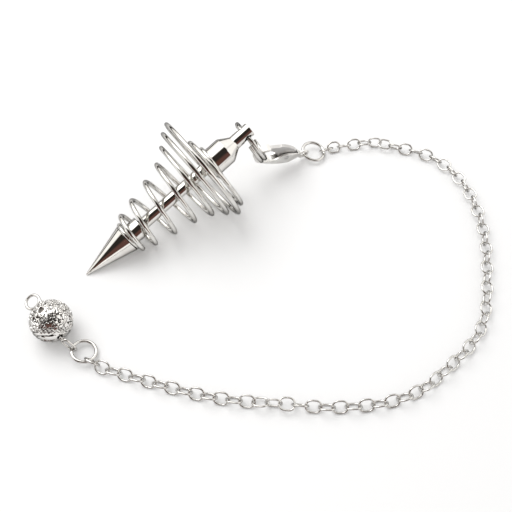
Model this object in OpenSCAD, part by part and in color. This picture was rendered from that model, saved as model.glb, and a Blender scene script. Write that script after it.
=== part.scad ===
// Spiral pendulum on a link chain, with a lobster clasp and a strung bead at the free end.
// Sizes are in millimetres. It lies on a flat surface at z = 0, with +X to the right and
// +Y away from the viewer.

/* [Pendulum body] */
// Length of the turned body, from its point to the end of the neck
body_l = 58; // [54:0.5:64]
// Diameter of the pointed tip at its base
tip_d = 8; // [7:0.1:9]
// Height of the pointed tip
tip_h = 14.4; // [12:0.1:17]
// Radius of the rounding on the point
tip_r = 0.3; // [0.15:0.05:0.6]
// Diameter of the collar behind the tip
lower_collar_d = 5.6; // [5:0.1:6.6]
// Length of the collar behind the tip
lower_collar_l = 5; // [3.5:0.1:6]
// Diameter of the rod between the two collars
rod_d = 3.2; // [2.4:0.1:4]
// Depth of the rod's socket in each collar
socket_l = 3; // [2:0.1:3.4]
// Diameter of the upper collar
upper_collar_d = 7.5; // [7:0.1:9]
// Length of the upper collar
upper_collar_l = 6.8; // [6:0.1:8]
// Length of the sloping shoulder above the upper collar
shoulder_l = 3; // [2:0.1:4]
// Diameter of the neck
neck_d = 3.8; // [3.6:0.1:5]
// Length of the neck
neck_l = 5.6; // [5:0.1:6.5]
// Diameter of the cross hole in the neck
neck_hole_d = 2.6; // [2.4:0.05:2.7]
// Distance from the cross hole's axis to the end of the neck
neck_hole_end = 2; // [1.9:0.1:2.5]

/* [Spiral] */
// Diameter of the spiral over its widest turn
coil_d = 31.7; // [27:0.1:35]
// Diameter of the spiral's wire
coil_wire_d = 1.2; // [0.9:0.05:1.4]
// Rise of the spiral from its first turn to its last
coil_rise = 30.8; // [28:0.1:31.4]

/* [Split ring] */
// Outside diameter of the split ring
split_ring_d = 13.1; // [12.4:0.1:14.4]
// Diameter of the split ring's wire
split_wire_d = 1.1; // [0.8:0.05:1.15]

/* [Clasp] */
// Length of the clasp from its nose to the end of its tail eye
clasp_l = 19.8; // [18.5:0.1:21]
// Width of the clasp's body, without the lever's thumb piece
clasp_w = 6.6; // [6:0.1:7.2]
// Thickness of the clasp
clasp_t = 2.8; // [2.6:0.1:3.4]
// Thickness of the spring lever
lever_t = 1.1; // [0.8:0.05:1.3]
// Diameter of the lever's rivet
rivet_d = 0.9; // [0.7:0.05:1.1]
// Outside diameter of the tail eye
tail_eye_d = 3.5; // [3.3:0.1:4]
// Diameter of the tail eye's wire
tail_wire_d = 0.85; // [0.7:0.05:0.95]

/* [Jump rings] */
// Outside diameter of the clasp's jump ring
clasp_ring_d = 7.3; // [6.6:0.1:8]
// Outside diameter of the bead's jump ring
bead_ring_d = 6.7; // [6.2:0.1:7.4]
// Diameter of the jump rings' wire
jump_wire_d = 0.85; // [0.7:0.05:0.95]

/* [Chain] */
// Length of the chain over all its links
chain_l = 203.5; // [170:0.5:225]
// Outside length of a link
link_l = 4.25; // [3.9:0.05:4.6]
// Outside width of a link
link_w = 3.5; // [3.3:0.05:3.8]
// Diameter of a link's wire
link_wire_d = 0.5; // [0.4:0.02:0.55]

/* [Bead and pin] */
// Diameter of the bead
bead_d = 10.5; // [9.8:0.1:11.4]
// Thickness of the bead's wall
bead_wall = 0.8; // [0.7:0.05:1.2]
// Height of the relief on the bead
relief_h = 0.35; // [0.2:0.05:0.45]
// Diameter of the bead's hole
bead_hole_d = 1.5; // [1.2:0.05:2]
// Diameter of the pin's wire
pin_d = 0.7; // [0.5:0.05:0.8]
// Outside diameter of the pin's free eye
eye_d = 4.4; // [3.8:0.1:4.8]
// Straight length of pin between the bead and its free eye
pin_stub = 2.6; // [2:0.1:3]
// Outside length of the pin's long eye at the jump ring
long_eye_l = 4.9; // [4.4:0.1:5.4]
// Outside width of the pin's long eye
long_eye_w = 2.8; // [2.6:0.1:3.4]

/* [Fit] */
// Clearance between pieces that seat in each other, and between a piece and the surface
seat_gap = 0.05; // [0.03:0.01:0.08]
// Clearance between linked wires, and between the lever and the claw
link_gap = 0.12; // [0.1:0.01:0.2]

/* [Hidden] */
$fn = 48;

// Silver finishes, from the brightest piece to the greyest
bright = [0.86, 0.85, 0.83];
silver = [0.78, 0.77, 0.76];
grey = [0.68, 0.67, 0.66];

// Route of the chain's middle over the surface, from the clasp to the bead, as drawn for this
// many links and this length. It grows and shrinks with the chain.
drawn_links = 65;
drawn_l = 203.45;
drawn_route = [[20.3, 36.7], [23.4, 37.9], [29.7, 39], [33, 39.5], [36.1, 39.3], [41.7, 37.8],
               [47.7, 36], [52.9, 32.9], [56.8, 28.5], [59.7, 23], [61.2, 17.2], [62, 11],
               [62, 4.5], [61.5, -0.8], [60.8, -5.1], [59.7, -11.1], [58.3, -17.2], [56, -22.8],
               [52.3, -27.7], [47.9, -31.8], [43.5, -35.6], [40.4, -38], [35.1, -40.6],
               [29.1, -42.2], [22.8, -42.9], [16.5, -43.1], [10.4, -42.7], [4.3, -42.2],
               [-1.7, -41.7], [-7.7, -41], [-13.6, -39.9], [-19.5, -38.4], [-25.1, -36.8],
               [-31, -35.1], [-36.6, -33.3], [-39.8, -31.6], [-43, -28.4]];

// Where each linked piece lies: directions seen from above, and slopes, in degrees
body_heading = 37.7;
coil_start = -58;
hole_turn = -72;
ring_lean = 9;
ring_twist = 10;
ring_slide = 1.05;
ring_seat = 0.15;
grip_turn = 52;
clasp_heading = 208;
clasp_roll = -14;
clasp_ring_slope = 13;
clasp_ring_uphill = 160;
clasp_ring_link = -147;
clasp_ring_tail = 44;
bead_ring_slope = 13.5;
bead_ring_uphill = 200;
bead_ring_link = 105;
bead_ring_eye = -32;
long_eye_heading = -26;
long_eye_turn = -12;
pin_heading = -57;
free_eye_turn = 20;
link_roll = 45;
first_slack = 0.7;

// The chain's own turn about its route, in degrees, and the slack up to a link, by the number
// of the link in the drawn chain
link_turn = [[0, 0], [3, 0], [8, 90], [20, 45], [36, 0], [46, 0], [51, 90], [62, 90], [64, 110],
             [70, 110]];
link_slack = [[0, 0], [4, 0.08], [8, 0.24], [52, 1], [64, 2.6], [70, 2.6]];

// Turns of the spiral: turns from the start, share of the rise, share of the way out from
// the collar to the widest turn
TURN = 0;
RISE = 1;
OUT = 2;
coil_rows = [[0, 0, 0], [0.4, 0, 0.02], [1, 0.018, 0.11], [1.5, 0.067, 0.165],
             [2, 0.13, 0.215], [2.5, 0.225, 0.265], [3, 0.317, 0.318], [3.5, 0.418, 0.37],
             [4, 0.51, 0.425], [4.5, 0.59, 0.49], [5, 0.66, 0.57], [5.5, 0.715, 0.7],
             [6, 0.762, 0.775], [6.5, 0.802, 0.9], [7, 0.84, 0.94], [7.45, 0.875, 1],
             [7.7, 0.895, 1], [8, 0.912, 0.81], [8.5, 0.922, 0.27], [8.8, 0.93, 0.03],
             [9, 0.938, 0], [9.5, 0.965, 0], [9.84, 1, 0]];
coil_steps = 24;
coil_sides = 6;
coil_out_until = 7.45;

upper_collar_z = body_l - neck_l - shoulder_l - upper_collar_l;
lower_collar_z = tip_h + lower_collar_l;
neck_hole_z = body_l - neck_hole_end;
coil_wire_r = coil_wire_d / 2;
coil_base_z = tip_h + coil_wire_r + seat_gap;
coil_out_r = coil_d / 2 - coil_wire_r;
coil_low_r = lower_collar_d / 2 + coil_wire_r + 2 * seat_gap;
coil_top_r = upper_collar_d / 2 + coil_wire_r + 2 * seat_gap;
split_r = (split_ring_d - split_wire_d) / 2;
clasp_ring_r = (clasp_ring_d - jump_wire_d) / 2;
bead_ring_r = (bead_ring_d - jump_wire_d) / 2;
eye_r = (eye_d - pin_d) / 2;
link_end_r = (link_w - link_wire_d) / 2;
link_side = link_l - link_w;
link_pitch = link_l - 2 * link_wire_d - link_gap;
link_count = round(chain_l / link_pitch);
last = link_count - 1;
route = [for (p = drawn_route) p * link_count * link_pitch / drawn_l];
cut_past = 1;

function unit(v) = v / norm(v);
function on_x(v, a) = [v.x, v.y * cos(a) - v.z * sin(a), v.y * sin(a) + v.z * cos(a)];
function on_y(v, a) = [v.x * cos(a) + v.z * sin(a), v.y, v.z * cos(a) - v.x * sin(a)];
function on_z(v, a) = [v.x * cos(a) - v.y * sin(a), v.x * sin(a) + v.y * cos(a), v.z];

// Smooth value of a table's column at a turn number
function slope_at(rows, c, i) =
    let (a = max(i - 1, 0), b = min(i + 1, len(rows) - 1))
    (rows[b][c] - rows[a][c]) / (rows[b][TURN] - rows[a][TURN]);
function row_before(rows, t) =
    max([for (i = [0 : len(rows) - 2]) rows[i][TURN] <= t ? i : 0]);
function smooth_at(rows, c, t) =
    let (i = row_before(rows, t), p = rows[i], q = rows[i + 1])
    let (w = q[TURN] - p[TURN], x = (t - p[TURN]) / w)
    (1 - x) * (1 - x) * ((1 + 2 * x) * p[c] + x * w * slope_at(rows, c, i))
    + x * x * ((3 - 2 * x) * q[c] - (1 - x) * w * slope_at(rows, c, i + 1));

// Middle of the spiral's wire at a turn number, in the body's own frame
function coil_at(t) =
    let (inner = t < coil_out_until ? coil_low_r : coil_top_r)
    let (r = inner + smooth_at(coil_rows, OUT, t) * (coil_out_r - inner))
    let (a = coil_start - 360 * t)
    [r * cos(a), r * sin(a), coil_base_z + smooth_at(coil_rows, RISE, t) * coil_rise];
coil_turns = coil_rows[len(coil_rows) - 1][TURN];
coil_path = [for (i = [0 : round(coil_turns * coil_steps)]) coil_at(min(i / coil_steps, coil_turns))];

// The body lies on its point and on the lowest part of the spiral
function tilt_for(p) =
    atan2(p.x, p.z - tip_r) + asin((coil_wire_r - tip_r) / norm([p.x, p.z - tip_r]));
body_tilt = max([for (p = coil_path) tilt_for(p)]);
function off_body(v) = on_z(on_y(v, 90 - body_tilt), body_heading);
neck_hole_height = tip_r + (neck_hole_z - tip_r) * sin(body_tilt);

// The split ring's plane, in the body's frame: along the hole and away from the viewer
hole_dir = [cos(hole_turn), sin(hole_turn), 0];
ring_x = unit(hole_dir * cos(ring_twist) - [0, 0, sin(ring_twist)]);
ring_away = [-sin(hole_turn), cos(hole_turn), 0] * cos(ring_lean) + [0, 0, sin(ring_lean)];
ring_y = unit(ring_away - (ring_away * ring_x) * ring_x);
ring_z = cross(ring_x, ring_y);
ring_drop = sqrt(split_r * split_r - ring_slide * ring_slide);
ring_from_hole = ring_x * ring_slide + ring_y * ring_drop + ring_z * ring_seat;
grip_from_hole = ring_from_hole + split_r * (ring_x * cos(grip_turn) + ring_y * sin(grip_turn));

// Places of the links along the route
function spline(p, i, t) =
    let (a = p[max(i - 1, 0)], b = p[i], c = p[i + 1], d = p[min(i + 2, len(p) - 1)])
    0.5 * (2 * b + (c - a) * t + (2 * a - 5 * b + 4 * c - d) * t * t
           + (3 * b - a - 3 * c + d) * t * t * t);
route_steps = 8;
walk = concat([for (i = [0 : len(route) - 2]) for (k = [0 : route_steps - 1])
               spline(route, i, k / route_steps)], [route[len(route) - 1]]);
walked = [for (i = 0, s = 0; i < len(walk);
               s = s + (i < len(walk) - 1 ? norm(walk[i + 1] - walk[i]) : 0), i = i + 1) s];
walk_x = [for (i = [0 : len(walk) - 1]) [walked[i], walk[i].x]];
walk_y = [for (i = [0 : len(walk) - 1]) [walked[i], walk[i].y]];
route_l = walked[len(walked) - 1];
route_end = unit(walk[len(walk) - 1] - walk[len(walk) - 2]);
function on_route(s) =
    [lookup(s, walk_x), lookup(s, walk_y)] + max(s - route_l, 0) * route_end;

// The links lean to one side and the other by turns, each as high as the steeper of two needs
function in_drawing(i) = i * (drawn_links - 1) / last;
function roll_at(i) = 90 * i - link_roll + lookup(in_drawing(i), link_turn);
function link_at(i) =
    let (s = max(i * link_pitch - lookup(in_drawing(i), link_slack), first_slack), p = on_route(s))
    let (steep = max(abs(sin(roll_at(i))), abs(cos(roll_at(i)))))
    [p.x, p.y, link_wire_d / 2 + link_end_r * steep + seat_gap];
links = [for (i = [0 : last]) link_at(i)];
function link_dir(i) = unit(links[min(i + 1, last)] - links[max(i - 1, 0)]);

// A jump ring's wire passes through a link's end this far from the link's middle and below it
ring_drop_in_link = 0.25;
bead_ring_slack = 0.15;
ring_play = link_end_r - link_wire_d / 2 - jump_wire_d / 2 - 1.3 * link_gap;
link_pull = link_side / 2 + sqrt(ring_play * ring_play - 2 * ring_drop_in_link * ring_drop_in_link);

// The clasp's ring lies in the first link and slopes up to the clasp, which slopes on from
// there to the split ring
function clasp_ring_point(a) =
    clasp_ring_r * on_z(on_y([cos(a), sin(a), 0], -clasp_ring_slope), clasp_ring_uphill);
clasp_ring_c = links[0] - [0, 0, ring_drop_in_link] - link_pull * link_dir(0)
               - clasp_ring_point(clasp_ring_link);
tail_hole_r = tail_eye_d / 2 - tail_wire_d;
tail_pull = tail_hole_r - jump_wire_d / 2 - link_gap;
tail_at = clasp_ring_c + clasp_ring_point(clasp_ring_tail);

// The clasp's own frame: the tail eye's middle at its origin, +X to the nose, +Y to the lever
nose_x = clasp_l - tail_eye_d / 2;
claw_arm = 0.16 * clasp_w;
grip_x = nose_x - claw_arm - 1.4 * split_wire_d - link_gap;
clasp_reach = grip_x + tail_pull;
body_over_grip = off_body([0, 0, neck_hole_z - tip_r] + grip_from_hole);
clasp_slope = asin((tip_r + body_over_grip.z - tail_at.z) / clasp_reach);
clasp_dir = on_z([cos(clasp_slope), 0, sin(clasp_slope)], clasp_heading);
tail_c = tail_at + tail_pull * clasp_dir;
grip_at = tail_at + clasp_reach * clasp_dir;
body_at = [grip_at.x - body_over_grip.x, grip_at.y - body_over_grip.y, tip_r];

// The bead's ring lies in the last link and slopes up to the pin's long eye, which hangs from
// the bead
function bead_ring_point(a) =
    bead_ring_r * on_z(on_y([cos(a), sin(a), 0], -bead_ring_slope), bead_ring_uphill);
bead_ring_c = links[last] - [0, 0, ring_drop_in_link] + (link_pull - bead_ring_slack) * link_dir(last)
              - bead_ring_point(bead_ring_link);
eye_at = bead_ring_c + bead_ring_point(bead_ring_eye);
pin_reach = bead_d / 2 + 0.4;
long_eye_stem = 0.3;
eye_reach = long_eye_stem + long_eye_l - pin_d - jump_wire_d / 2 - link_gap;
long_eye_slope = asin((bead_d / 2 - eye_at.z) / eye_reach);
function long_eye_dir() = on_z([cos(long_eye_slope), 0, -sin(long_eye_slope)], long_eye_heading);
bend_at = eye_at - eye_reach * long_eye_dir();
bead_c = bend_at - pin_reach * on_z([1, 0, 0], pin_heading);

// The origin is under the middle of everything: the links reach furthest, and the free eye
function link_reach(i, e) =
    let (d = link_dir(i), a = atan2(d.y, d.x))
    let (w = on_z([0, cos(roll_at(i)), sin(roll_at(i))], a))
    links[i] * e + link_wire_d / 2 + abs(e * d) * link_side / 2
    + link_end_r * norm([e * d, e * w]);
far_eye_c = bead_c + on_z([-bead_d / 2 - pin_stub, -eye_r * cos(free_eye_turn),
                           -eye_r * sin(free_eye_turn)], pin_heading);
x_high = max([for (i = [0 : last]) link_reach(i, [1, 0, 0])]);
x_low = far_eye_c.x - eye_d / 2;
y_high = max([for (i = [0 : last]) link_reach(i, [0, 1, 0])]);
y_low = -max([for (i = [0 : last]) link_reach(i, [0, -1, 0])]);
middle = [(x_low + x_high) / 2, (y_low + y_high) / 2, 0];

// A closed ring or arc of round wire about the z axis
module wire_arc(r, d, from = 0, angle = 360) {
    rotate([0, 0, from]) rotate_extrude(angle = angle) translate([r, 0]) circle(d = d);
}

// A closed tube round a path that never runs along the z axis
module wire_along(path, d, sides) {
    n = len(path);
    points = [for (i = [0 : n - 1])
        let (t = unit(path[min(i + 1, n - 1)] - path[max(i - 1, 0)]))
        let (a = unit(cross(t, [0, 0, 1])), b = cross(a, t))
        for (k = [0 : sides - 1])
            path[i] + d / 2 * (a * cos(360 * k / sides) + b * sin(360 * k / sides))];
    skin = [for (i = [0 : n - 2]) for (k = [0 : sides - 1])
        let (m = (k + 1) % sides, p = i * sides)
        each [[p + k, p + sides + m, p + sides + k], [p + k, p + m, p + sides + m]]];
    first_end = [for (k = [sides - 1 : -1 : 0]) k];
    last_end = [for (k = [0 : sides - 1]) (n - 1) * sides + k];
    polyhedron(points, concat(skin, [first_end, last_end]), convexity = 10);
}

// Puts a piece of the body where the body lies
module lay_body() {
    translate(body_at - middle) rotate([0, 0, body_heading]) rotate([0, 90 - body_tilt, 0])
        translate([0, 0, -tip_r]) children();
}

// Pointed tip with its collar, bored for the rod
module tip_cone() {
    color(bright) lay_body() difference() {
        union() {
            translate([0, 0, tip_r]) sphere(r = tip_r);
            translate([0, 0, tip_r]) cylinder(h = tip_h - tip_r, d1 = 2 * tip_r, d2 = tip_d);
            translate([0, 0, tip_h - socket_l]) cylinder(h = lower_collar_l + socket_l, d = lower_collar_d);
        }
        translate([0, 0, lower_collar_z - socket_l])
            cylinder(h = socket_l + cut_past, d = rod_d + 2 * seat_gap);
    }
}

// Plain rod from socket to socket
module rod() {
    from = lower_collar_z - socket_l + seat_gap;
    to = upper_collar_z + socket_l - seat_gap;
    color(silver) lay_body() translate([0, 0, from]) cylinder(h = to - from, d = rod_d);
}

// Collar, shoulder and neck, turned in one, with the cross hole for the split ring
module top_fitting() {
    shoulder_z = upper_collar_z + upper_collar_l;
    sink = 0.35;
    sink_d = neck_hole_d + 2 * sink;
    color(bright) lay_body() difference() {
        union() {
            translate([0, 0, upper_collar_z]) cylinder(h = upper_collar_l, d = upper_collar_d);
            translate([0, 0, shoulder_z]) cylinder(h = shoulder_l, d1 = upper_collar_d, d2 = neck_d);
            translate([0, 0, shoulder_z]) cylinder(h = shoulder_l + neck_l, d = neck_d);
        }
        translate([0, 0, upper_collar_z - cut_past])
            cylinder(h = socket_l + cut_past, d = rod_d + 2 * seat_gap);
        translate([0, 0, neck_hole_z]) rotate([0, 0, hole_turn]) rotate([0, 90, 0]) {
            cylinder(h = 2 * neck_d, d = neck_hole_d, center = true);
            for (side = [0, 180]) rotate([side, 0, 0]) translate([0, 0, neck_d / 2 - sink])
                cylinder(h = 2 * sink, d1 = neck_hole_d, d2 = neck_hole_d + 4 * sink);
        }
    }
}

// Springy wire spiral, closed round both collars
module spiral_wire() {
    color(bright) lay_body() wire_along(coil_path, coil_wire_d, coil_sides);
}

// Two turns of wire side by side, which cross over where they pass through the neck
module split_ring() {
    near_end = -0.9;
    far_end = 0.57;
    cross_over = 0.09;
    offset_z = split_wire_d / 2 + seat_gap / 2;
    steps = 50;
    hole_angle = atan2(-ring_drop, -ring_slide);
    path = [for (i = [0 : steps])
        let (t = near_end + (far_end - near_end) * i / steps, a = hole_angle + 360 * t)
        [split_r * cos(a), split_r * sin(a), offset_z * min(max(t / cross_over, -1), 1)]];
    color(silver) lay_body() translate([0, 0, neck_hole_z] + ring_from_hole)
        multmatrix([[ring_x.x, ring_y.x, ring_z.x, 0],
                    [ring_x.y, ring_y.y, ring_z.y, 0],
                    [ring_x.z, ring_y.z, ring_z.z, 0]])
            wire_along(path, split_wire_d, 8);
}

// Puts a piece of the clasp where the clasp hangs
module lay_clasp() {
    translate(tail_c - middle) rotate([0, 0, clasp_heading]) rotate([0, -clasp_slope, 0])
        rotate([clasp_roll, 0, 0]) rotate([90, 0, 0]) children();
}

// Outline of the claw and its shank in the clasp's flat plane, from shares of its length and width
claw_out = [[0.17, -0.22], [0.26, -0.33], [0.38, -0.385], [0.52, -0.39],
            [0.66, -0.385], [0.8, -0.375], [0.89, -0.33], [0.955, -0.21], [0.992, -0.02],
            [1, 0.16], [0.98, 0.34], [0.94, 0.49], [0.88, 0.58], [0.815, 0.61]];
claw_in = [[0.835, 0.46], [0.88, 0.43], [0.915, 0.34], [0.935, 0.2], [0.94, 0.06], [0.93, -0.06],
           [0.905, -0.17], [0.86, -0.25], [0.76, -0.26], [0.65, -0.24], [0.58, -0.16],
           [0.535, -0.04], [0.52, 0.04]];
shank_top = [[0.5, 0.17], [0.42, 0.26], [0.32, 0.29], [0.22, 0.25], [0.15, 0.19]];
function spread(rows) = [for (r = rows) [r.x * nose_x, r.y * clasp_w]];
pivot = [0.4 * nose_x, 0.06 * clasp_w];

// Rounds the claw's flat sides off toward the nose and the tail
module clasp_envelope() {
    half = clasp_t / 2;
    side = [[0.05, 0.28], [0.16, 0.62], [0.28, 0.92], [0.42, 1], [0.58, 0.96], [0.8, 0.78], [1.01, 0.6]];
    top = [for (r = side) [r.x * nose_x, r.y * half]];
    low = [for (i = [len(side) - 1 : -1 : 0]) [side[i].x * nose_x, -side[i].y * half]];
    rotate([90, 0, 0]) linear_extrude(3 * clasp_w, center = true) polygon(concat(top, low));
}

// Hooked claw with its slot for the lever, and the tail eye
module clasp_body() {
    slot = lever_t + 2 * link_gap;
    shank_from = (tail_eye_d - tail_wire_d) / 2;
    color(silver) lay_clasp() {
        difference() {
            intersection() {
                linear_extrude(clasp_t, center = true)
                    polygon(concat([[shank_from, -0.1 * clasp_w]], spread(claw_out), spread(claw_in),
                                   spread(shank_top), [[shank_from, 0.1 * clasp_w]]));
                clasp_envelope();
            }
            translate([0.16 * nose_x, -0.2 * clasp_w, -slot / 2]) cube([0.46 * nose_x, clasp_w, slot]);
            translate(pivot) cylinder(h = 2 * clasp_t, d = rivet_d + 2 * seat_gap, center = true);
        }
        wire_arc((tail_eye_d - tail_wire_d) / 2, tail_wire_d);
    }
}

// Lever: gate arm, pivot boss and ridged thumb piece
gate = [[0.42, -0.1], [0.5, -0.1], [0.55, 0.06], [0.63, 0.24], [0.73, 0.38], [0.826, 0.45],
        [0.804, 0.59], [0.76, 0.63], [0.7, 0.65], [0.64, 0.65]];
thumb_x = [0.62, 0.24];
thumb_y = [0.67, 0.36];
ridges = 9;
module clasp_lever() {
    teeth = [for (i = [0 : 2 * ridges]) let (f = i / 2 / ridges)
        [thumb_x[0] + f * (thumb_x[1] - thumb_x[0]),
         thumb_y[0] + f * f * (thumb_y[1] - thumb_y[0]) + (i % 2) * 0.03]];
    foot = [[0.24, 0.31], [0.28, 0.3], [0.33, 0.1], [0.36, -0.06]];
    color(grey) lay_clasp() difference() {
        linear_extrude(lever_t, center = true) polygon(spread(concat(gate, teeth, foot)));
        translate(pivot) cylinder(h = 2 * clasp_t, d = rivet_d + 2 * seat_gap, center = true);
    }
}

// Rivet with two low heads, which the lever turns on
module clasp_rivet() {
    half = clasp_t / 2 + seat_gap;
    color(grey) lay_clasp() translate(pivot) {
        cylinder(h = 2 * half, d = rivet_d, center = true);
        for (side = [0, 180]) rotate([side, 0, 0]) translate([0, 0, half])
            cylinder(h = 0.15 * rivet_d, d1 = 1.6 * rivet_d, d2 = 1.2 * rivet_d);
    }
}

// Puts a round wire ring on the clasp's side of the chain
module clasp_ring() {
    color(silver) translate(clasp_ring_c - middle) rotate([0, 0, clasp_ring_uphill])
        rotate([0, -clasp_ring_slope, 0]) wire_arc(clasp_ring_r, jump_wire_d);
}

module bead_ring() {
    color(silver) translate(bead_ring_c - middle) rotate([0, 0, bead_ring_uphill])
        rotate([0, -bead_ring_slope, 0]) wire_arc(bead_ring_r, jump_wire_d);
}

// A closed oval of round wire along x, flat in the xy plane, by its outside length and width
module wire_oval(l, w, d) {
    r = (w - d) / 2;
    side = l - w;
    for (turn = [0, 180]) rotate([0, 0, turn]) {
        translate([side / 2, 0, 0]) wire_arc(r, d, -90, 180);
        translate([-side / 2, r, 0]) rotate([0, 90, 0]) cylinder(h = side, d = d);
    }
}

// All the links, one through the other
module chain() {
    color(silver) for (i = [0 : last]) {
        d = link_dir(i);
        translate(links[i] - middle) rotate([0, -asin(d.z), atan2(d.y, d.x)])
            rotate([roll_at(i), 0, 0]) wire_oval(link_l, link_w, link_wire_d);
    }
}

// Skin of the bead in its own frame, with the hole along x: wavy furrows and round pits, which
// stop short of the plain lip round each mouth of the hole
lip_from = 64;
lip_fade = 10;
pits = [[12, 55, 1.25], [205, 30, 1.1], [120, -35, 1.2], [300, -20, 1.1], [75, 5, 0.9], [255, 62, 1]];
function ripple(u, v) =
    0.5 * sin(7 * u + 60 * sin(3 * v + 40) + 35 * sin(2 * u))
    + 0.5 * sin(9 * v + 75 * sin(4 * u + 10) + 30 * cos(2 * v));
function skin_r(dir, u, v) =
    let (dip = max([for (p = pits)
        let (q = [sin(p[1]), cos(p[1]) * cos(p[0]), cos(p[1]) * sin(p[0])])
        let (away = acos(min(dir * q, 1)) * PI / 180 * bead_d / 2 / p[2])
        away < 1 ? 1 - away * away : 0]))
    let (edge = min(max((lip_from - abs(v)) / lip_fade, 0), 1))
    bead_d / 2 - relief_h * edge * max(dip, 0.5 - 0.5 * ripple(u, v));

// Puts the bead or its pin where it lies: the hole runs from the free end toward the ring
module lay_bead() {
    translate(bead_c - middle) rotate([0, 0, pin_heading]) children();
}

// Hollow bead with a relief, bored for the pin
module bead() {
    rows = 30;
    cols = 44;
    points = [for (j = [0 : rows]) for (i = [0 : cols - 1])
        let (v = -90 + 180 * (j + 0.5) / (rows + 1), u = 360 * (i + 0.5 * (j % 2)) / cols)
        let (dir = [sin(v), cos(v) * cos(u), cos(v) * sin(u)])
        dir * skin_r(dir, u, v)];
    sides = [for (j = [0 : rows - 1]) for (i = [0 : cols - 1])
        let (m = (i + 1) % cols, a = j * cols, b = a + cols)
        each j % 2 == 0 ? [[a + i, b + i, a + m], [a + m, b + i, b + m]]
                        : [[a + i, b + i, b + m], [a + i, b + m, a + m]]];
    caps = [[for (i = [0 : cols - 1]) i], [for (i = [cols - 1 : -1 : 0]) rows * cols + i]];
    color(silver) lay_bead() difference() {
        polyhedron(points, concat(sides, caps), convexity = 6);
        sphere(d = bead_d - 2 * relief_h - 2 * bead_wall);
        rotate([0, 90, 0]) cylinder(h = 2 * bead_d, d = bead_hole_d, center = true);
    }
}

// Wire pin through the bead: an open eye at the free end, and a long eye bent down to the ring
module bead_pin() {
    far_x = -bead_d / 2 - pin_stub;
    open = 12;
    color(silver) {
        lay_bead() {
            translate([far_x, 0, 0]) rotate([0, 90, 0]) cylinder(h = pin_reach - far_x, d = pin_d);
            rotate([free_eye_turn, 0, 0]) translate([far_x, -eye_r, 0])
                wire_arc(eye_r, pin_d, 90, 360 - open);
        }
        translate(bend_at - middle) sphere(d = 1.04 * pin_d);
        translate(bend_at - middle) rotate([0, 0, long_eye_heading])
        rotate([0, long_eye_slope, 0]) rotate([long_eye_turn, 0, 0]) {
            rotate([0, 90, 0]) cylinder(h = long_eye_stem + pin_d / 2, d = pin_d);
            translate([long_eye_stem + long_eye_l / 2, 0, 0]) rotate([90, 0, 0])
                wire_oval(long_eye_l, long_eye_w, pin_d);
        }
    }
}

tip_cone();
rod();
top_fitting();
spiral_wire();
split_ring();
clasp_body();
clasp_lever();
clasp_rivet();
clasp_ring();
chain();
bead_ring();
bead();
bead_pin();
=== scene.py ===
import math

import bpy
import numpy as np
from mathutils import Matrix, Vector, noise


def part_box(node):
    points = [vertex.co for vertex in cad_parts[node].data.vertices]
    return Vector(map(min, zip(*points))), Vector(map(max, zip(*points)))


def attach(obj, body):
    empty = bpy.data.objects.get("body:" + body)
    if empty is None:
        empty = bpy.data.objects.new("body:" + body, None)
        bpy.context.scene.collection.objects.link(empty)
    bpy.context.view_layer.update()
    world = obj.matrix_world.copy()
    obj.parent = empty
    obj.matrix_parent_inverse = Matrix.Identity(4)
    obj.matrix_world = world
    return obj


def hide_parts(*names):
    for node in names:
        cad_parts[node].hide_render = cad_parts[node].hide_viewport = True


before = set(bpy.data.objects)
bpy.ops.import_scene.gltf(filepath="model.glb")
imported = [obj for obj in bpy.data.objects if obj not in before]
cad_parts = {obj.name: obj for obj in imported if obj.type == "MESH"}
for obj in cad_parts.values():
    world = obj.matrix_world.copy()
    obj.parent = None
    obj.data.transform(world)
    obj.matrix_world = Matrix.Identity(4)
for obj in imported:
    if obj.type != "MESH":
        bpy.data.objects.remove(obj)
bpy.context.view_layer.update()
mm = 0.001


# Table and daylight
# A white table top under one wide soft light from the back left, in a white room. The metal
# mirrors the room, with a dark patch all around the camera and a strip along the far side.
table_width = 6
table_white = (0.93, 0.925, 0.92, 1)
white_table = bpy.data.materials.new("white_table")
white_table.use_nodes = True
table_shader = white_table.node_tree.nodes["Principled BSDF"]
table_shader.inputs["Base Color"].default_value = table_white
table_shader.inputs["Roughness"].default_value = 0.7
table_shader.inputs["Specular IOR Level"].default_value = 0.15

bpy.ops.object.select_all(action="DESELECT")
bpy.ops.mesh.primitive_plane_add(size=table_width)
table = bpy.context.active_object
table.name = "table_top"
table.data.materials.append(white_table)

# The camera's height over the table as an angle, and the picture's own directions
camera_height_angle = math.radians(56.7)
right = Vector((1, 0, 0))
back = Vector((0, -math.cos(camera_height_angle), math.sin(camera_height_angle)))
up = back.cross(right)

# The room's grey light, and the colours that the metal mirrors
daylight = (0.78, 0.78, 0.78, 1)
mirrored_white = (1.3, 1.285, 1.25, 1)
mirrored_brown = (0.13, 0.062, 0.05, 1)
mirrored_black = (0.03, 0.025, 0.021, 1)
room = bpy.data.worlds.new("room")
bpy.context.scene.world = room
room.use_nodes = True
nodes, links = room.node_tree.nodes, room.node_tree.links
sky = nodes["Background"]
look = nodes.new("ShaderNodeTexCoord")


def look_along(direction):
    """How far the view into the room points along a direction."""
    along = nodes.new("ShaderNodeVectorMath")
    along.operation = "DOT_PRODUCT"
    along.inputs[1].default_value = direction
    links.new(look.outputs["Generated"], along.inputs[0])
    return along.outputs["Value"]


def share_between(value, start, end):
    """A share that eases from 0 at the start value to 1 at the end value."""
    share = nodes.new("ShaderNodeMapRange")
    share.interpolation_type = "SMOOTHSTEP"
    share.inputs["From Min"].default_value = start
    share.inputs["From Max"].default_value = end
    links.new(value, share.inputs["Value"])
    return share.outputs["Result"]


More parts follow.
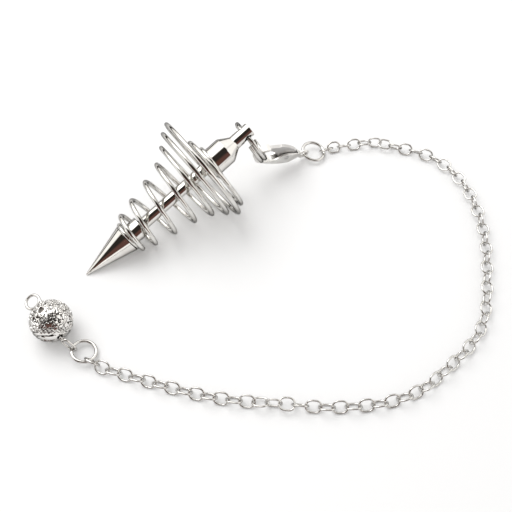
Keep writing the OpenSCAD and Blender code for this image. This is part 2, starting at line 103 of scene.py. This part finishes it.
def product(a, b):
    """Two shares multiplied."""
    both = nodes.new("ShaderNodeMath")
    both.operation = "MULTIPLY"
    links.new(a, both.inputs[0])
    links.new(b, both.inputs[1])
    return both.outputs["Value"]


def oval(sideways, upwards, turn, long_reach, short_reach, softness):
    """Share of an oval patch of the room, placed and sized by its angles from the camera."""
    sideways, upwards, turn, long_reach, short_reach = map(
        math.radians, (sideways, upwards, turn, long_reach, short_reach))
    level = math.cos(sideways) * back + math.sin(sideways) * right
    middle = math.cos(upwards) * level + math.sin(upwards) * up
    side = middle.cross(up).normalized() * -1
    over = middle.cross(side)
    long_way = math.cos(turn) * side + math.sin(turn) * over
    short_way = math.cos(turn) * over - math.sin(turn) * side
    spot = nodes.new("ShaderNodeCombineXYZ")
    links.new(look_along(long_way / math.sin(long_reach)), spot.inputs["X"])
    links.new(look_along(short_way / math.sin(short_reach)), spot.inputs["Y"])
    off = nodes.new("ShaderNodeVectorMath")
    off.operation = "LENGTH"
    links.new(spot.outputs["Vector"], off.inputs[0])
    inside = share_between(off.outputs["Value"], 1 + softness, 1 - softness)
    ahead = share_between(look_along(middle), 0, 0.1)
    return product(inside, ahead)


def mix_colours(factor, one, other):
    """Mixes two colours, each a value or a socket, in the node tree at hand."""
    mix = nodes.new("ShaderNodeMix")
    mix.data_type = "RGBA"
    links.new(factor, mix.inputs["Factor"])
    for colour, socket in ((one, mix.inputs["A"]), (other, mix.inputs["B"])):
        if isinstance(colour, tuple):
            socket.default_value = colour
        else:
            links.new(colour, socket)
    return mix.outputs["Result"]


# Two crossing ovals make the dark patch, brown low down and black higher up
dark_share = nodes.new("ShaderNodeMath")
dark_share.operation = "MAXIMUM"
middle_oval = oval(sideways=1, upwards=-13, turn=-32.6, long_reach=60, short_reach=25, softness=0.06)
side_oval = oval(sideways=-10, upwards=-9, turn=42, long_reach=70, short_reach=24, softness=0.1)
links.new(middle_oval, dark_share.inputs[0])
links.new(side_oval, dark_share.inputs[1])
brown_until, black_from = -0.34, -0.1
black_share = share_between(look_along(up), brown_until, black_from)
dark = mix_colours(black_share, mirrored_brown, mirrored_black)
mirrored = mix_colours(dark_share.outputs["Value"], mirrored_white, dark)

# The strip lies low over the far side of the table, and fades at its top and its two ends
strip_full, strip_top = 0.16, 0.26
strip_way = Vector((-0.5, 0.87, 0))
strip_end, strip_full_from = 0.2, 0.5
low_down = share_between(look_along(Vector((0, 0, 1))), strip_top, strip_full)
far_side = share_between(look_along(strip_way), strip_end, strip_full_from)
mirrored = mix_colours(product(low_down, far_side), mirrored, mirrored_black)
ray = nodes.new("ShaderNodeLightPath")
lit = mix_colours(ray.outputs["Is Glossy Ray"], daylight, mirrored)
links.new(lit, sky.inputs["Color"])
bpy.context.scene.view_settings.view_transform = "Standard"

bpy.ops.object.light_add(type="AREA", location=(-0.2, 0.2, 0.45))
soft_box = bpy.context.active_object
soft_box.name = "soft_box"
soft_box.data.energy = 1.4
soft_box.data.size = 0.42
soft_box.rotation_euler = (-soft_box.location).to_track_quat("-Z", "Y").to_euler()

# The photograph's middle on the table, and the camera's place over it
photo_middle = Vector((-2.869 * mm, 1.676 * mm, 0))
camera_distance = 184 * mm
photo_width = 512
focal_pixels = 683
bpy.ops.object.camera_add()
camera = bpy.context.active_object
camera.name = "photo_camera"
camera.data.sensor_width = 36
camera.data.lens = camera.data.sensor_width * focal_pixels / photo_width
camera.data.clip_start = 1 * mm
camera.location = photo_middle + camera_distance * back
camera.rotation_euler = (math.pi / 2 - camera_height_angle, 0, 0)
bpy.context.scene.camera = camera


# Pointed tip
# Turned from brass bar and nickel plated to a mirror, with a short collar behind the cone
# that is bored for the rod. The body lies on this point and on its spiral.
body_heading = math.radians(37.7)
tip_d = 8 * mm
tip_h = 14.4 * mm
tip_r = 0.3 * mm
lower_collar_d = 5.6 * mm
lower_collar_l = 5 * mm
upper_collar_d = 7.5 * mm
upper_collar_l = 6.8 * mm
shoulder_l = 3 * mm
neck_d = 3.8 * mm
neck_l = 5.6 * mm
body_l = 58 * mm
rod_d = 3.2 * mm
socket_l = 3 * mm
seat_gap = 0.05 * mm
lower_collar_z = tip_h + lower_collar_l
shoulder_z = body_l - neck_l - shoulder_l
upper_collar_z = shoulder_z - upper_collar_l

coil_d = 31.7 * mm
coil_wire_d = 1.2 * mm
coil_rise = 30.8 * mm
coil_start = math.radians(-58)
coil_wire_r = coil_wire_d / 2
coil_base_z = tip_h + coil_wire_r + seat_gap

# Turns of the spiral: turns from the start, share of the rise, share of the way out
coil_rows = [(0, 0, 0), (0.4, 0, 0.02), (1, 0.018, 0.11), (1.5, 0.067, 0.165),
             (2, 0.13, 0.215), (2.5, 0.225, 0.265), (3, 0.317, 0.318), (3.5, 0.418, 0.37),
             (4, 0.51, 0.425), (4.5, 0.59, 0.49), (5, 0.66, 0.57), (5.5, 0.715, 0.7),
             (6, 0.762, 0.775), (6.5, 0.802, 0.9), (7, 0.84, 0.94), (7.45, 0.875, 1),
             (7.7, 0.895, 1), (8, 0.912, 0.81), (8.5, 0.922, 0.27), (8.8, 0.93, 0.03),
             (9, 0.938, 0), (9.5, 0.965, 0), (9.84, 1, 0)]
coil_out_until = 7.45


def row_slope(column, row):
    """How fast a column changes at a row, per turn."""
    before = coil_rows[max(row - 1, 0)]
    after = coil_rows[min(row + 1, len(coil_rows) - 1)]
    return (after[column] - before[column]) / (after[0] - before[0])


def coil_share(column, turn):
    """A column's share at any turn, eased from row to row."""
    row = max(i for i in range(len(coil_rows) - 1) if coil_rows[i][0] <= turn or i == 0)
    start, end = coil_rows[row], coil_rows[row + 1]
    width = end[0] - start[0]
    x = (turn - start[0]) / width
    from_start = (1 - x) ** 2 * ((1 + 2 * x) * start[column] + x * width * row_slope(column, row))
    from_end = x * x * ((3 - 2 * x) * end[column] - (1 - x) * width * row_slope(column, row + 1))
    return from_start + from_end


def coil_at(turn):
    """The wire's middle at a turn, on the standing body."""
    collar_d = lower_collar_d if turn < coil_out_until else upper_collar_d
    inner = collar_d / 2 + coil_wire_r + 2 * seat_gap
    r = inner + coil_share(2, turn) * (coil_d / 2 - coil_wire_r - inner)
    a = coil_start - 2 * math.pi * turn
    return Vector((r * math.cos(a), r * math.sin(a), coil_base_z + coil_share(1, turn) * coil_rise))


coil_steps = 40
coil_turns = coil_rows[-1][0]
coil_path = [coil_at(min(step / coil_steps, coil_turns))
             for step in range(round(coil_turns * coil_steps) + 1)]


def tilt_to_lie_on(p):
    """How far the body has to rise for the wire to touch the table at a point."""
    reach = math.hypot(p.x, p.z - tip_r)
    return math.atan2(p.x, p.z - tip_r) + math.asin((coil_wire_r - tip_r) / reach)


body_tilt = max(tilt_to_lie_on(p) for p in coil_path)
turn_body = Matrix.Rotation(body_heading, 4, "Z") @ Matrix.Rotation(math.pi / 2 - body_tilt, 4, "Y")
rod_low, rod_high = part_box("rod")
rod_middle = (Vector(rod_low) + Vector(rod_high)) / 2
rod_middle_z = (lower_collar_z + upper_collar_z) / 2
lay_body = Matrix.Translation(rod_middle - turn_body @ Vector((0, 0, rod_middle_z))) @ turn_body


clearest, cloudiest = 0.6, 1.5
dull_tint = (0.93, 0.92, 0.91)
dull_until, bright_from = 0.35, 0.6
marks_fineness = 12
marks_depth = 0.01 * mm


def polished_metal(name, tint, roughness, scale, bump, rim=0.04):
    """Plated metal: a mirror with faint clouding in its gloss and fine polishing marks."""
    material = bpy.data.materials.new(name)
    material.use_nodes = True
    nodes, links = material.node_tree.nodes, material.node_tree.links
    shader = nodes["Principled BSDF"]
    shader.inputs["Metallic"].default_value = 1
    shader.inputs["Specular Tint"].default_value = (rim, rim, rim, 1)
    place = nodes.new("ShaderNodeTexCoord")
    cloud = nodes.new("ShaderNodeTexNoise")
    cloud.inputs["Scale"].default_value = scale
    cloud.inputs["Detail"].default_value = 4
    links.new(place.outputs["Object"], cloud.inputs["Vector"])
    gloss = nodes.new("ShaderNodeMapRange")
    gloss.inputs["To Min"].default_value = roughness * clearest
    gloss.inputs["To Max"].default_value = roughness * cloudiest
    links.new(cloud.outputs["Fac"], gloss.inputs["Value"])
    links.new(gloss.outputs["Result"], shader.inputs["Roughness"])
    shade = nodes.new("ShaderNodeValToRGB")
    dull, bright = shade.color_ramp.elements
    dull.color = (*(share * full for share, full in zip(tint, dull_tint)), 1)
    bright.color = (*tint, 1)
    dull.position, bright.position = dull_until, bright_from
    links.new(cloud.outputs["Fac"], shade.inputs["Fac"])
    links.new(shade.outputs["Color"], shader.inputs["Base Color"])
    marks = nodes.new("ShaderNodeTexNoise")
    marks.inputs["Scale"].default_value = scale * marks_fineness
    marks.inputs["Detail"].default_value = 2
    links.new(place.outputs["Object"], marks.inputs["Vector"])
    lift = nodes.new("ShaderNodeBump")
    lift.inputs["Strength"].default_value = bump
    lift.inputs["Distance"].default_value = marks_depth
    links.new(marks.outputs["Fac"], lift.inputs["Height"])
    links.new(lift.outputs["Normal"], shader.inputs["Normal"])
    return material


body_plate = polished_metal("polished_plate", (0.79, 0.775, 0.745),
                            roughness=0.05, scale=300, bump=0.15)


crease = math.radians(35)


def finish_edges(piece, width, angle=crease):
    """Breaks the edges sharper than an angle, and smooths the rest."""
    bpy.ops.object.select_all(action="DESELECT")
    piece.select_set(True)
    bpy.context.view_layer.objects.active = piece
    edges = piece.modifiers.new("broken_edges", "BEVEL")
    edges.width = width
    edges.segments = 3
    edges.limit_method = "ANGLE"
    edges.angle_limit = angle
    bpy.ops.object.modifier_apply(modifier=edges.name)
    bpy.ops.object.shade_smooth_by_angle(angle=angle)


def turned(name, stations, material, sides=96):
    """A turned solid along z from (height, radius) stations, closed at both ends."""
    bpy.ops.object.select_all(action="DESELECT")
    height, radius = stations[0]
    bpy.ops.mesh.primitive_circle_add(vertices=sides, radius=radius, fill_type="NGON",
                                      location=(0, 0, height))
    piece = bpy.context.active_object
    piece.name = name
    bpy.ops.object.mode_set(mode="EDIT")
    bpy.ops.mesh.select_all(action="SELECT")
    for next_height, next_radius in stations[1:]:
        step = (0, 0, next_height - height)
        bpy.ops.mesh.extrude_region_move(TRANSFORM_OT_translate={"value": step})
        grow = next_radius / radius
        bpy.ops.transform.resize(value=(grow, grow, 1))
        height, radius = next_height, next_radius
    bpy.ops.mesh.select_all(action="SELECT")
    bpy.ops.mesh.normals_make_consistent(inside=False)
    bpy.ops.object.mode_set(mode="OBJECT")
    bpy.ops.object.transform_apply(location=True, rotation=True, scale=True)
    piece.data.materials.append(material)
    return piece


def put_in_place(piece, placing):
    """Moves the mesh itself, so that the object stays at the origin."""
    piece.data.transform(placing)
    piece.data.update()


def ride_on(piece, body, node):
    """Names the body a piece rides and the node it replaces."""
    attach(piece, body)
    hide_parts(node)


broken_edge = 0.1 * mm
socket_r = rod_d / 2 + seat_gap
round_end = [(tip_r * (1 - math.cos(a)), tip_r * math.sin(a))
             for a in (math.radians(step) for step in (8, 25, 45, 65, 90))]
tip = turned("tip", round_end + [(tip_h, tip_d / 2), (tip_h, lower_collar_d / 2),
                                 (lower_collar_z, lower_collar_d / 2), (lower_collar_z, socket_r),
                                 (lower_collar_z - socket_l, socket_r)], body_plate)
finish_edges(tip, broken_edge)
put_in_place(tip, lay_body)
ride_on(tip, "pendulum", "tip_cone")


# Rod
# Plain round bar between the two collars, pressed into their sockets.
rod = turned("rod_bar", [(lower_collar_z - socket_l + seat_gap, rod_d / 2),
                         (upper_collar_z + socket_l - seat_gap, rod_d / 2)], body_plate)
finish_edges(rod, broken_edge)
put_in_place(rod, lay_body)
ride_on(rod, "pendulum", "rod")


# Top fitting
# Collar, sloping shoulder and neck turned in one, then cross drilled and countersunk near
# the end of the neck for the split ring.
neck_hole_d = 2.6 * mm
neck_hole_below_end = 2 * mm
neck_hole_z = body_l - neck_hole_below_end
hole_turn = math.radians(-72)
sink = 0.35 * mm
fitting = turned("fitting", [(upper_collar_z + socket_l, socket_r), (upper_collar_z, socket_r),
                             (upper_collar_z, upper_collar_d / 2), (shoulder_z, upper_collar_d / 2),
                             (shoulder_z + shoulder_l, neck_d / 2), (body_l, neck_d / 2)],
                 body_plate)
neck_hole_r = neck_hole_d / 2
sunk_r = neck_hole_r + 2 * sink
drill = turned("drill", [(-neck_d, sunk_r), (-neck_d / 2 - sink, sunk_r),
                         (-neck_d / 2 + sink, neck_hole_r), (neck_d / 2 - sink, neck_hole_r),
                         (neck_d / 2 + sink, sunk_r), (neck_d, sunk_r)], body_plate)
put_in_place(drill, Matrix.Translation((0, 0, neck_hole_z)) @ Matrix.Rotation(hole_turn, 4, "Z")
             @ Matrix.Rotation(math.pi / 2, 4, "Y"))
shoulder_edge = 0.12 * mm
shoulder_angle = math.radians(14)
finish_edges(fitting, shoulder_edge, shoulder_angle)
cross_hole = fitting.modifiers.new("cross_hole", "BOOLEAN")
cross_hole.operation = "DIFFERENCE"
cross_hole.solver = "EXACT"
cross_hole.object = drill
bpy.ops.object.modifier_apply(modifier=cross_hole.name)
bpy.ops.object.shade_smooth_by_angle(angle=crease)
bpy.data.objects.remove(drill)
put_in_place(fitting, lay_body)
ride_on(fitting, "pendulum", "top_fitting")


# Spiral
# One length of springy plated wire, wound into a cage that closes round both collars and
# opens to its widest turn near the top.
wide_crease = math.radians(50)


def drawn_wire(name, path, diameter, material, roundness=6):
    """Round wire along a path, with its ends cut square."""
    bpy.ops.object.select_all(action="DESELECT")
    bpy.ops.curve.primitive_nurbs_path_add()
    wire = bpy.context.active_object
    wire.name = name
    wire.data.splines.clear()
    run = wire.data.splines.new("POLY")
    run.points.add(len(path) - 1)
    for point, place in zip(run.points, path):
        point.co = (*place, 1)
    wire.data.dimensions = "3D"
    wire.data.bevel_depth = diameter / 2
    wire.data.bevel_resolution = roundness
    wire.data.use_fill_caps = True
    bpy.ops.object.convert(target="MESH")
    wire = bpy.context.active_object
    wire.data.materials.clear()
    wire.data.materials.append(material)
    bpy.ops.object.shade_smooth_by_angle(angle=wide_crease)
    return wire


spiral_plate = polished_metal("spiral_plate", (0.72, 0.71, 0.685),
                              roughness=0.07, scale=260, bump=0.2, rim=0.3)
spiral = drawn_wire("spiral", coil_path, coil_wire_d, spiral_plate)
put_in_place(spiral, lay_body)
ride_on(spiral, "pendulum", "spiral_wire")


# Split ring
# Two turns of hard wire side by side, which pass through the neck and hold the clasp.
split_ring_d = 13.1 * mm
split_wire_d = 1.1 * mm
split_r = (split_ring_d - split_wire_d) / 2
ring_lean = math.radians(9)
ring_twist = math.radians(10)
ring_slide = 1.05 * mm
ring_seat = 0.15 * mm
hole_axis = Vector((math.cos(hole_turn), math.sin(hole_turn), 0))
across_hole = Vector((-math.sin(hole_turn), math.cos(hole_turn), 0))
ring_x = (hole_axis * math.cos(ring_twist) - Vector((0, 0, math.sin(ring_twist)))).normalized()
ring_away = across_hole * math.cos(ring_lean) + Vector((0, 0, math.sin(ring_lean)))
ring_y = (ring_away - ring_away.dot(ring_x) * ring_x).normalized()
ring_z = ring_x.cross(ring_y)
ring_drop = math.sqrt(split_r ** 2 - ring_slide ** 2)
ring_middle = (Vector((0, 0, neck_hole_z)) + ring_x * ring_slide + ring_y * ring_drop
               + ring_z * ring_seat)
hole_angle = math.atan2(-ring_drop, -ring_slide)

# Its two ends and the crossing from one turn to the other, in turns from the neck's hole
near_end, far_end, cross_over = -0.9, 0.57, 0.09
ring_steps = 150
split_path = []
for step in range(ring_steps + 1):
    turn = near_end + (far_end - near_end) * step / ring_steps
    a = hole_angle + 2 * math.pi * turn
    side = (split_wire_d + seat_gap) / 2 * min(max(turn / cross_over, -1), 1)
    outwards = ring_x * math.cos(a) + ring_y * math.sin(a)
    split_path.append(ring_middle + split_r * outwards + side * ring_z)
ring_plate = polished_metal("ring_plate", (0.68, 0.67, 0.65),
                            roughness=0.08, scale=350, bump=0.2)
split_ring = drawn_wire("split_ring_wire", split_path, split_wire_d, ring_plate)
put_in_place(split_ring, lay_body)
ride_on(split_ring, "pendulum", "split_ring")


# Clasp
# Lobster clasp: a cast claw with its tail eye, a stamped lever with a ridged thumb piece
# and a riveted pin. Castings come out of the mould with soft edges.
weld = 0.001 * mm
stamped_crease = math.radians(40)


def cast_copy(name, node, material, grain=0, rounds=0):
    """A copy of the node's shape, softened by rounds of smoothing where it has a grain."""
    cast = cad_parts[node].copy()
    cast.data = cast.data.copy()
    cast.name = name
    bpy.context.scene.collection.objects.link(cast)
    cast.parent = None
    cast.matrix_world = Matrix.Identity(4)
    bpy.ops.object.select_all(action="DESELECT")
    cast.select_set(True)
    bpy.context.view_layer.objects.active = cast
    bpy.ops.object.mode_set(mode="EDIT")
    bpy.ops.mesh.select_all(action="SELECT")
    bpy.ops.mesh.remove_doubles(threshold=weld)
    bpy.ops.object.mode_set(mode="OBJECT")
    if grain:
        skin = cast.modifiers.new("skin", "REMESH")
        skin.mode = "VOXEL"
        skin.voxel_size = grain
        bpy.ops.object.modifier_apply(modifier=skin.name)
        soften = cast.modifiers.new("soften", "SMOOTH")
        soften.factor = 0.5
        soften.iterations = rounds
        bpy.ops.object.modifier_apply(modifier=soften.name)
        bpy.ops.object.shade_smooth()
    else:
        bpy.ops.object.shade_smooth_by_angle(angle=stamped_crease)
    cast.data.materials.clear()
    cast.data.materials.append(material)
    return cast


clasp_plate = polished_metal("clasp_plate", (0.88, 0.87, 0.85),
                             roughness=0.42, scale=400, bump=0.3, rim=0.4)
lever_plate = polished_metal("lever_plate", (0.66, 0.65, 0.64),
                             roughness=0.3, scale=500, bump=0.6)
claw = cast_copy("claw", "clasp_body", clasp_plate, grain=0.07 * mm, rounds=6)
ride_on(claw, "pendulum", "clasp_body")
lever = cast_copy("lever_arm", "clasp_lever", lever_plate, grain=0.05 * mm, rounds=3)
ride_on(lever, "lever", "clasp_lever")
rivet = cast_copy("rivet_pin", "clasp_rivet", lever_plate)
ride_on(rivet, "pendulum", "clasp_rivet")


# Jump rings
# Round wire rings, closed with a fine seam, that join the chain to the clasp and the bead.
clasp_ring_d = 7.3 * mm
bead_ring_d = 6.7 * mm
jump_wire_d = 0.85 * mm
jump_seam = 1.2
jump_steps = 72


def jump_ring(name, node, diameter, slope, uphill, seam_at):
    """A ring in its node's middle, by its slope, the heading of its high side and its seam."""
    low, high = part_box(node)
    r = (diameter - jump_wire_d) / 2
    slope, uphill, seam_at, seam = map(math.radians, (slope, uphill, seam_at, jump_seam))
    path = []
    for step in range(jump_steps + 1):
        a = seam_at + seam / 2 + (2 * math.pi - seam) * step / jump_steps
        path.append(Vector((r * math.cos(a), r * math.sin(a), 0)))
    ring = drawn_wire(name, path, jump_wire_d, ring_plate)
    put_in_place(ring, Matrix.Translation((Vector(low) + Vector(high)) / 2)
                 @ Matrix.Rotation(uphill, 4, "Z") @ Matrix.Rotation(-slope, 4, "Y"))
    ride_on(ring, "pendulum", node)


jump_ring("clasp_jump_ring", "clasp_ring", clasp_ring_d, slope=13, uphill=160, seam_at=-60)
jump_ring("bead_jump_ring", "bead_ring", bead_ring_d, slope=13.5, uphill=200, seam_at=10)


# Chain
# Cable chain of oval links, each bent from round wire, closed through the one before and
# butted on one side.
link_l = 4.25 * mm
link_w = 3.5 * mm
link_wire_d = 0.5 * mm
link_butt = 0.03 * mm
link_r = (link_w - link_wire_d) / 2
link_side = (link_l - link_w) / 2


def link_places():
    """Where each link lies, from the loose links of the chain's solid."""
    bpy.ops.object.select_all(action="DESELECT")
    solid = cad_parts["chain"].copy()
    solid.data = solid.data.copy()
    solid.parent = None
    bpy.context.scene.collection.objects.link(solid)
    solid.select_set(True)
    bpy.context.view_layer.objects.active = solid
    bpy.ops.object.mode_set(mode="EDIT")
    bpy.ops.mesh.select_all(action="SELECT")
    bpy.ops.mesh.remove_doubles(threshold=weld)
    bpy.ops.mesh.separate(type="LOOSE")
    bpy.ops.object.mode_set(mode="OBJECT")
    places = []
    for part in list(bpy.context.selected_objects):
        points = np.array([vertex.co[:] for vertex in part.data.vertices])
        across = np.linalg.eigh(np.cov(points.T))[1]
        reach = points @ across
        middle = Vector(across @ ((reach.min(axis=0) + reach.max(axis=0)) / 2))
        thick, wide, long = (Vector(axis) for axis in across.T)
        wide = thick.cross(long)
        place = Matrix((long, wide, thick)).transposed().to_4x4()
        places.append(Matrix.Translation(middle) @ place)
        bpy.data.objects.remove(part)
    return places


bend_steps = 18
link_path = [Vector((link_butt, -link_r, 0))]
for end, start in ((1, -90), (-1, 90)):
    for step in range(bend_steps + 1):
        a = math.radians(start + 180 * step / bend_steps)
        x = end * link_side + link_r * math.cos(a)
        link_path.append(Vector((x, link_r * math.sin(a), 0)))
link_path.append(Vector((-link_butt, -link_r, 0)))
chain_plate = polished_metal("chain_plate", (0.7, 0.69, 0.67),
                             roughness=0.1, scale=400, bump=0.3)
first_link = drawn_wire("cable_chain", link_path, link_wire_d, chain_plate, roundness=4)
laid_links = []
for place in link_places():
    link = first_link.copy()
    link.data = first_link.data.copy()
    bpy.context.scene.collection.objects.link(link)
    put_in_place(link, place)
    laid_links.append(link)
bpy.data.objects.remove(first_link)
bpy.ops.object.select_all(action="DESELECT")
for link in laid_links:
    link.select_set(True)
bpy.context.view_layer.objects.active = laid_links[0]
bpy.ops.object.join()
chain = bpy.context.active_object
chain.name = "cable_chain"
ride_on(chain, "pendulum", "chain")


# Bead
# Hollow bead pressed from sheet with a lacy hammered relief, bored through for its pin.
bead_d = 10.5 * mm
bead_wall = 0.8 * mm
relief_h = 0.35 * mm
bead_hole_d = 1.5 * mm
bead_middle = Vector((-53.029, -20.766, 5.25)) * mm
pin_heading = math.radians(-57)
pin_way = Vector((math.cos(pin_heading), math.sin(pin_heading), 0))
pit_way = Vector((-0.25, 0.06, 0.97)).normalized()
pit_r = 0.75 * mm
bead_plate = polished_metal("bead_plate", (0.85, 0.84, 0.82),
                            roughness=0.14, scale=500, bump=0.4)
# Tarnish and painted shade: the bead's base colour darkens with depth below its outer face, so the
# sunk furrows come out dark. This stands in for the shade in the furrows as well as for tarnish.
bead_tarnish_and_shade = (0.13, 0.12, 0.11, 1)
tarnish_and_shade_from = 0.05 * mm
tarnish_and_shade_full = 0.75 * relief_h
nodes, links = bead_plate.node_tree.nodes, bead_plate.node_tree.links
base_colour = nodes["Principled BSDF"].inputs["Base Color"]
around_middle = nodes.new("ShaderNodeVectorMath")
around_middle.operation = "DISTANCE"
around_middle.inputs[1].default_value = bead_middle
links.new(nodes["Texture Coordinate"].outputs["Object"], around_middle.inputs[0])
# Share of tarnish and painted shade, growing from just under the bead's outer face to most of the
# relief's depth
hollow_tarnish_and_shade = nodes.new("ShaderNodeMapRange")
hollow_tarnish_and_shade.inputs["From Min"].default_value = bead_d / 2 - tarnish_and_shade_from
hollow_tarnish_and_shade.inputs["From Max"].default_value = bead_d / 2 - tarnish_and_shade_full
links.new(around_middle.outputs["Value"], hollow_tarnish_and_shade.inputs["Value"])
plated = base_colour.links[0].from_socket
links.new(mix_colours(hollow_tarnish_and_shade.outputs["Result"], plated, bead_tarnish_and_shade), base_colour)
bpy.ops.object.select_all(action="DESELECT")
bpy.ops.mesh.primitive_ico_sphere_add(subdivisions=7, radius=bead_d / 2)
bead = bpy.context.active_object
bead.name = "bead_ball"

# The relief: long strokes round the middle, specks above and rows of furrows below, with a
# plain lip at both mouths of the bore and a plain rim round the one pit
relief_seed = 4
drift_fineness, drift_start = 1.7, Vector((3, 1, 4))
crinkle_fineness, crinkle_start = 6.5, Vector((7, 2, 5))
stroke_across, stroke_along, stroke_width, stroke_depth = 7.5, 4, 0.17, 1.1
stroke_drift, stroke_crinkle = 1.4, 0.5
speck_fineness, speck_width, speck_depth = 11, 0.2, 0.8
row_fineness, row_depth, row_ridge = 38, 2, 0.9
row_drift, row_crinkle = 5, 1.6
lip_r, lip_slope = 0.2, 8
rim_r, rim_slope = 1.2, 1.5
pit_edge, pit_slope = 1.15, 4


def limited(value):
    """The value, held between 0 and 1."""
    return min(1, max(0, value))


noise.seed_set(relief_seed)
for vertex in bead.data.vertices:
    way = vertex.co.normalized()
    along = way.dot(pin_way)
    height = way.dot(up)
    drift = noise.noise_vector(way * drift_fineness + drift_start)
    crinkle = noise.noise_vector(way * crinkle_fineness + crinkle_start)
    worm = (way - along * pin_way) * stroke_across + along * pin_way * stroke_along
    worm = worm + drift * stroke_drift + crinkle * stroke_crinkle
    strokes = stroke_depth - abs(noise.noise(worm)) / stroke_width
    speck = abs(noise.noise(way * speck_fineness + crinkle))
    specks = speck_depth * (1 - speck / speck_width)
    wave = row_fineness * height + row_drift * drift.x + row_crinkle * crinkle.y
    rows = row_depth * math.sin(wave) - row_ridge
    low = limited(-4 * height - 1.2)
    high = limited(5 * height - 2.6)
    furrow = max(0, strokes * (1 - low) * (1 - high), specks * high, rows * low)
    past_lip = limited((math.sqrt(max(1 - along * along, 0)) - lip_r) * lip_slope)
    off_pit = way.angle(pit_way) * bead_d / 2 / pit_r
    past_rim = limited((off_pit - rim_r) * rim_slope)
    pit = min(1, pit_slope * (pit_edge - off_pit))
    depth = max(past_lip * past_rim * min(1, furrow), pit)
    vertex.co = way * (bead_d / 2 - relief_h * max(0, depth))
bead.data.materials.append(bead_plate)
turn_to_pin = Vector((0, 0, 1)).rotation_difference(pin_way).to_matrix().to_4x4()
bore_r = bead_hole_d / 2
bore = turned("bore", [(-bead_d, bore_r), (bead_d, bore_r)], bead_plate, sides=48)
put_in_place(bore, turn_to_pin)
bpy.ops.object.select_all(action="DESELECT")
bpy.ops.mesh.primitive_ico_sphere_add(subdivisions=5, radius=bead_d / 2 - relief_h - bead_wall)
hollow = bpy.context.active_object
bpy.ops.object.select_all(action="DESELECT")
bead.select_set(True)
bpy.context.view_layer.objects.active = bead
for cutter in (hollow, bore):
    cut = bead.modifiers.new("cut", "BOOLEAN")
    cut.operation = "DIFFERENCE"
    cut.solver = "MANIFOLD"
    cut.object = cutter
    bpy.ops.object.modifier_apply(modifier=cut.name)
    bpy.data.objects.remove(cutter)
bpy.ops.object.shade_smooth_by_angle(angle=wide_crease)
put_in_place(bead, Matrix.Translation(bead_middle))
ride_on(bead, "pendulum", "bead")


# Pin
# One wire through the bead, turned into an open eye at the free end and bent down to a long
# eye at the jump ring.
pin_d = 0.7 * mm
eye_r = 1.85 * mm
pin_stub = 2.6 * mm
pin_bend = 0.4 * mm
free_eye_turn = math.radians(20)
long_eye_stem = 0.3 * mm
long_eye_l = 4.9 * mm
long_eye_w = 2.8 * mm
long_eye_heading = math.radians(-26)
long_eye_slope = math.radians(50.46)
long_eye_turn = math.radians(-12)
eye_steps = 40
eye_open = 12
pin_turn_in = 0.25 * mm
hang_steps = 5
pin_place = (Matrix.Translation(bead_middle) @ Matrix.Rotation(pin_heading, 4, "Z")
             @ Matrix.Rotation(free_eye_turn, 4, "X"))
far_x = -bead_d / 2 - pin_stub
pin_path = []
for step in range(eye_steps):
    a = math.radians(90 + (360 - eye_open) * (1 - step / eye_steps))
    around_eye = Vector((far_x + eye_r * math.cos(a), -eye_r + eye_r * math.sin(a), 0))
    pin_path.append(pin_place @ around_eye)
pin_path.append(pin_place @ Vector((far_x, 0, 0)))
bend = pin_place @ Vector((bead_d / 2 + pin_bend, 0, 0))
hang_place = (Matrix.Translation(bend) @ Matrix.Rotation(long_eye_heading, 4, "Z")
              @ Matrix.Rotation(long_eye_slope, 4, "Y") @ Matrix.Rotation(long_eye_turn, 4, "X"))
hang_start = hang_place @ Vector((long_eye_stem + pin_d / 2, 0, 0))
for step in range(hang_steps + 1):
    share = step / hang_steps
    before = bend - pin_turn_in * (1 - share) * pin_way
    pin_path.append(before.lerp(bend.lerp(hang_start, share), share))
hang_r = (long_eye_w - pin_d) / 2
hang_side = (long_eye_l - long_eye_w) / 2
hang_middle = long_eye_stem + long_eye_l / 2
for end, start, sweep in ((-1, 180, 90), (1, -90, 180), (-1, 90, 90)):
    for step in range(0 if end == 1 else 1, bend_steps + 1):
        a = math.radians(start + sweep * step / bend_steps)
        x = hang_middle + end * hang_side + hang_r * math.cos(a)
        pin_path.append(hang_place @ Vector((x, 0, hang_r * math.sin(a))))
pin = drawn_wire("bead_wire", pin_path, pin_d, ring_plate)
ride_on(pin, "pendulum", "bead_pin")
